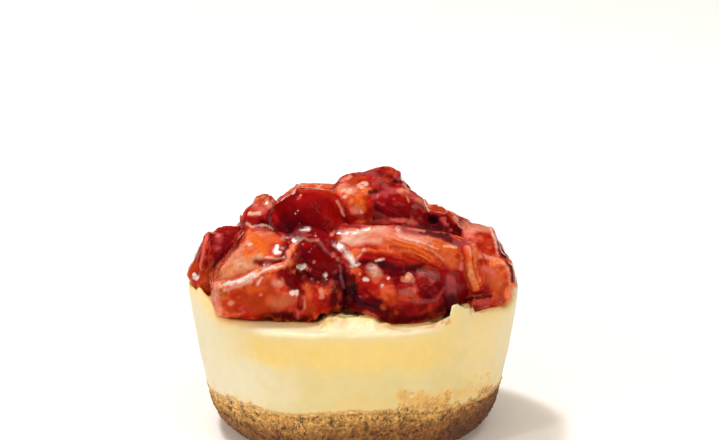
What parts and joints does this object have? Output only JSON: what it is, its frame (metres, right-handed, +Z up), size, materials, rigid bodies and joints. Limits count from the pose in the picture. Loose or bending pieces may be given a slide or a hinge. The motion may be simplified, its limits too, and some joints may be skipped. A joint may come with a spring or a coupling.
{
  "type": "fruit topped cheesecake cup",
  "caption": "Small round cheesecake baked in muffin-cup form: crumb crust, pale custard body with a raised rim, and a heap of glossy peach and cherry pieces in red sauce.",
  "frame": {"origin": "middle of the flat underside of the crust", "axes": "+Z up through the cake, -Y towards the side that the picture shows, +X to its right"},
  "size_m": [0.0702, 0.0699, 0.0552],
  "materials": {
    "crumb_crust": "matt baked crumb",
    "custard": "smooth matt baked custard",
    "peach_orange": "wet glazed",
    "peach_red": "wet glazed",
    "cherry": "wet glazed",
    "fruit_sauce": "thick clear glaze"
  },
  "bodies": {
    "root": {"crust": "crumb_crust", "custard": "custard", "peach_bits_front": "peach_orange", "peach_sliver": "peach_orange", "peach_scrap_right": "peach_red", "peach_slice_front_right": "peach_orange", "peach_front_left": "peach_orange", "cherry_upper_left": "cherry", "cherry_front_right": "cherry", "peach_front_right_low": "peach_red", "peach_right": "peach_orange", "peach_right_upper": "peach_red", "peach_left": "peach_red", "cherry_front": "cherry", "peach_front_centre": "peach_orange", "peach_top": "peach_red", "cherry_hollow": "cherry", "cherry_upper_right": "cherry", "peach_upper_centre": "peach_orange", "peach_top_left": "peach_red", "peach_upper_left": "peach_red", "peach_behind_cherry": "peach_orange", "peach_back_right_small": "peach_red", "cherry_right": "cherry", "peach_slice_back": "peach_orange", "peach_back_left": "peach_orange", "peach_back_right": "peach_red", "cherry_back": "cherry", "peach_back_upper_left": "peach_red", "peach_back_upper_right": "peach_orange", "cherry_back_low": "cherry", "sauce": "fruit_sauce"}
  },
  "joints": []
}
